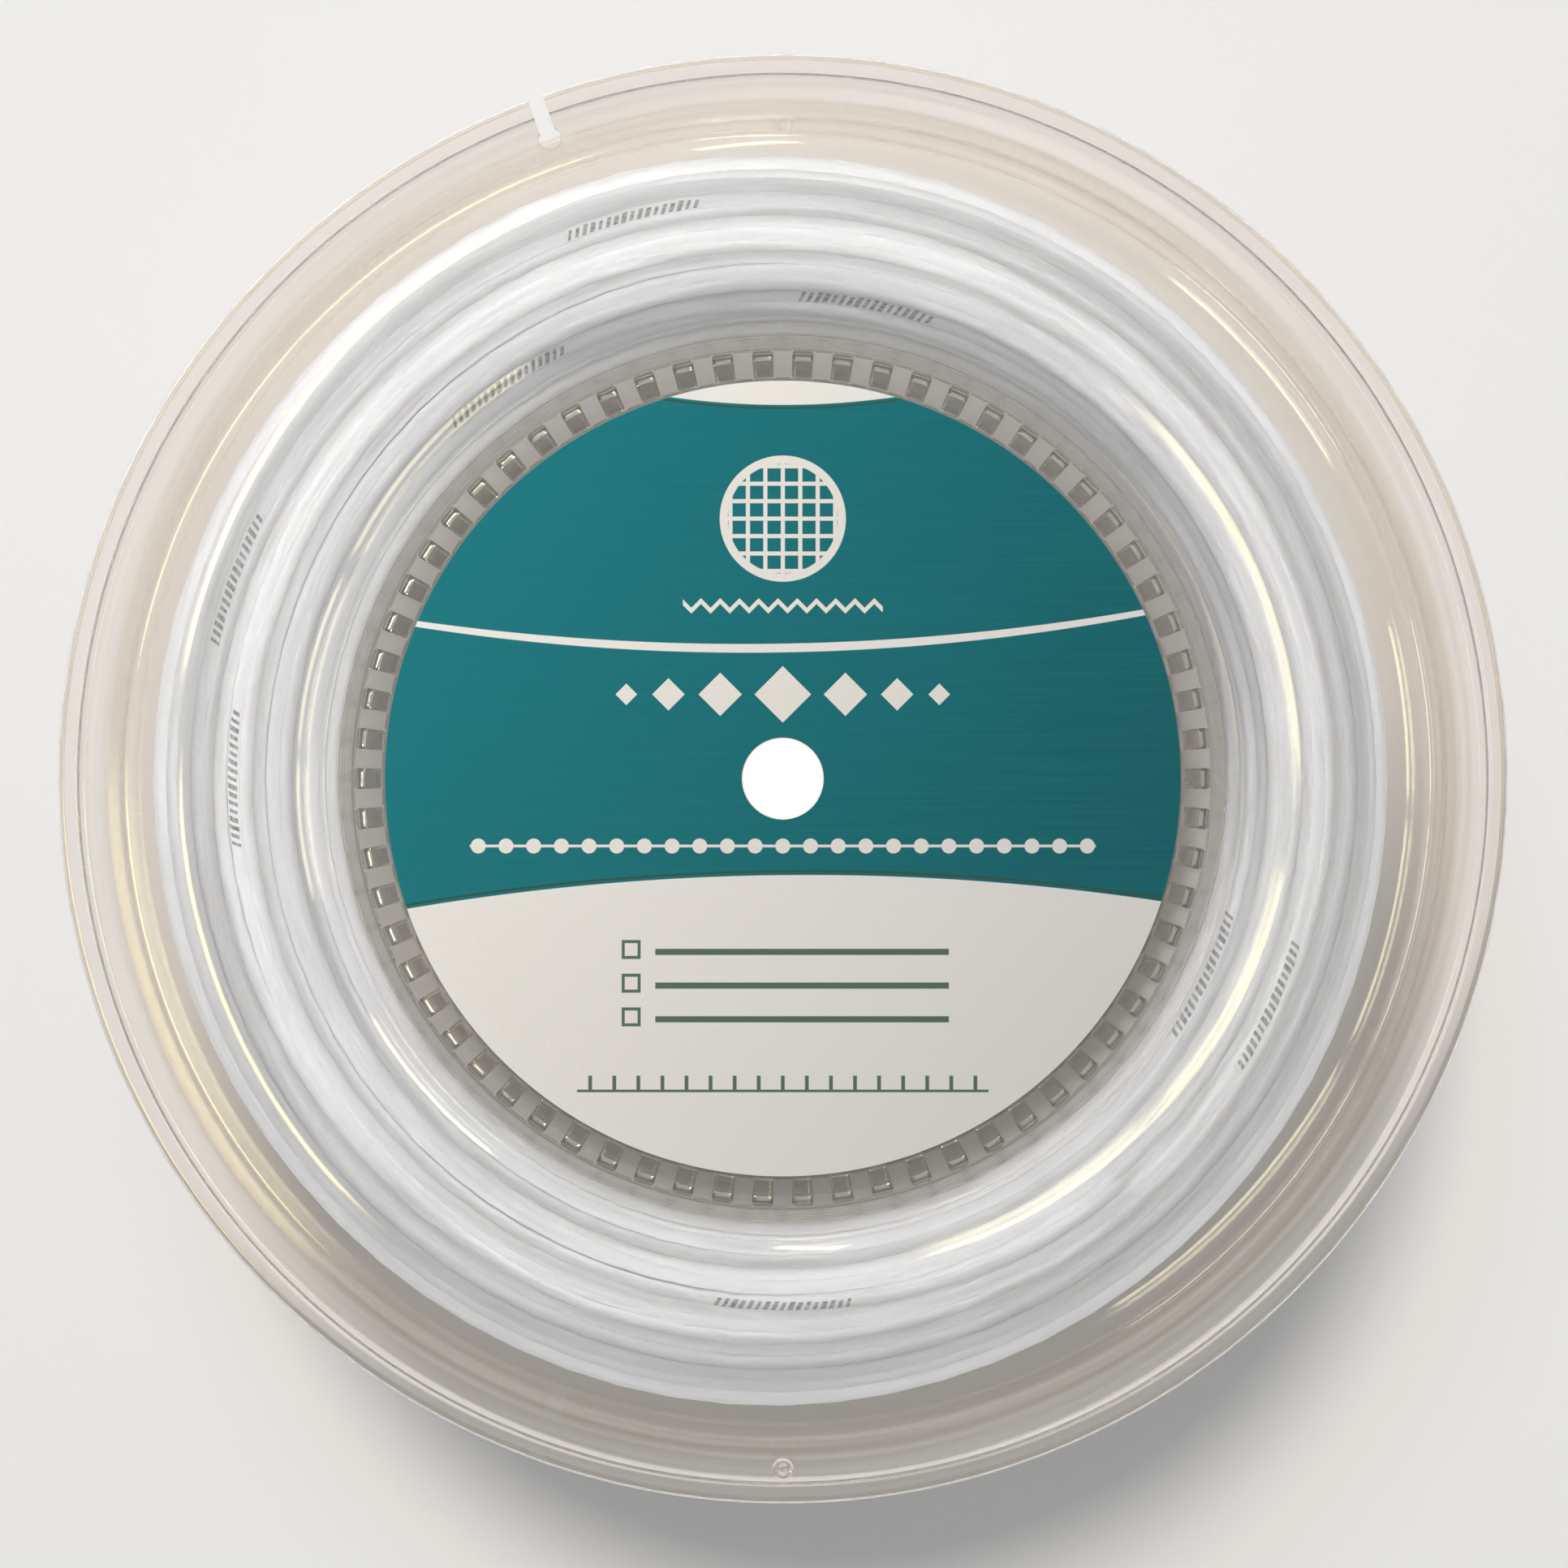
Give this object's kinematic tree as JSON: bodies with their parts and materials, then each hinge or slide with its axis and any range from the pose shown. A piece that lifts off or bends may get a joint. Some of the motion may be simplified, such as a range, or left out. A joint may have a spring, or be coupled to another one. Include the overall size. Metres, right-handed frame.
{
  "type": "string reel",
  "caption": "Clear plastic reel wound with racket string: crowned flanges pressed on a splined core tube, a round label on one side and a spindle bore through the middle.",
  "frame": {"origin": "centre of the rear rim's plane, on the reel's axis, where the reel stands when it lies on its rear flange", "axes": "+Z along the reel's axis towards the labelled front; +Y towards the top of the label; +X to the right of the label"},
  "size_m": [0.12, 0.12, 0.042],
  "materials": {
    "clear_flange": "clear, moulded, glossy, slightly warm",
    "clear_core": "clear, extruded, glossy, slightly milky",
    "label": "printed, teal over cream",
    "string": "smooth drawn string, satin, off-white"
  },
  "bodies": {
    "rear": {"rear_flange": "clear_flange"},
    "core": {"hub_core": "clear_core", "string_winding": "string", "string_inner_end": "string"},
    "front": {"front_flange": "clear_flange", "front_label": "label"}
  },
  "joints": [
    {"name": "core_lift", "type": "slide", "parent": "rear", "child": "core", "axis": [0, 0, 1], "range_m": [0, 0.02]},
    {"name": "front_lift", "type": "slide", "parent": "core", "child": "front", "axis": [0, 0, 1], "range_m": [0, 0.02]}
  ]
}
